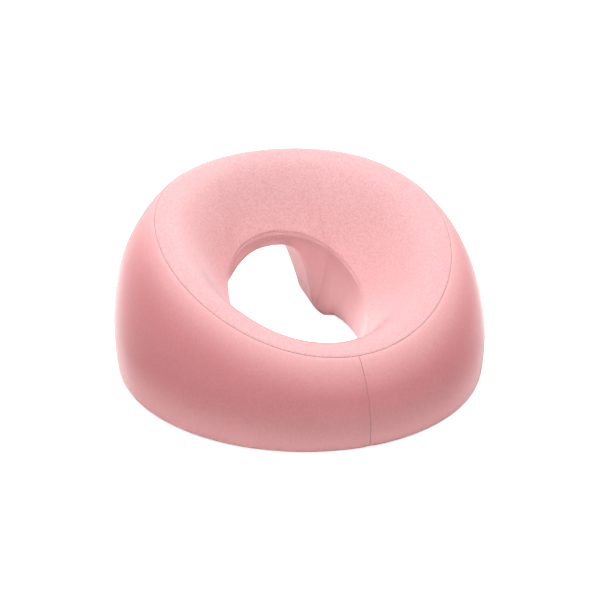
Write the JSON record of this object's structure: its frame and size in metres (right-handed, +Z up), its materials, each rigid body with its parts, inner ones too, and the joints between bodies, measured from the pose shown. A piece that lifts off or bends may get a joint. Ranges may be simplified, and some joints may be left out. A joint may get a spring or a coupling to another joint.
{
  "type": "nap cushion",
  "caption": "Ring-shaped foam nap cushion: high back, low front, dished top round an oval face hole, an arm arch through the back wall, and a sewn cover closed by a curved zip in the base.",
  "frame": {"origin": "middle of the cushion's footprint, on the plane that its base rests on", "axes": "+X to the right, +Y from the low front to the high back, +Z up"},
  "size_m": [0.292, 0.3001, 0.1445],
  "materials": {
    "cover": "matte",
    "lining": "matte",
    "thread": "satin",
    "foam": "matte",
    "zip_tape": "matte",
    "zip_coil": "satin",
    "zip_metal": "satin"
  },
  "bodies": {
    "cushion": {"foam_core": "foam", "top_panel": "cover", "side_band": "cover", "well_lining": "lining", "arch_lining": "lining", "base_panel": "cover", "rim_thread": "thread", "lip_thread": "thread", "front_join_thread": "thread", "base_outer_thread": "thread", "base_inner_thread": "thread", "arch_foot_thread_right": "thread", "arch_foot_thread_left": "thread", "zip_tape_inner": "zip_tape", "zip_tape_outer": "zip_tape", "zip_coil_inner": "zip_coil", "zip_coil_outer": "zip_coil", "zip_stop_closed": "zip_metal", "zip_stop_open": "zip_metal"},
    "slider": {"zip_slider": "zip_metal"},
    "pull": {"zip_pull": "zip_metal"}
  },
  "joints": [
    {"name": "zip_travel", "type": "hinge", "parent": "cushion", "child": "slider", "pos_m": [0, 0, 0.0033], "axis": [0, 0, 1], "range_deg": [0, 147]},
    {"name": "pull_swing", "type": "hinge", "parent": "slider", "child": "pull", "pos_m": [-0.09921, -0.03481, 0.00142], "axis": [-0.9596, -0.2815, 0], "range_deg": [0, 150]}
  ]
}
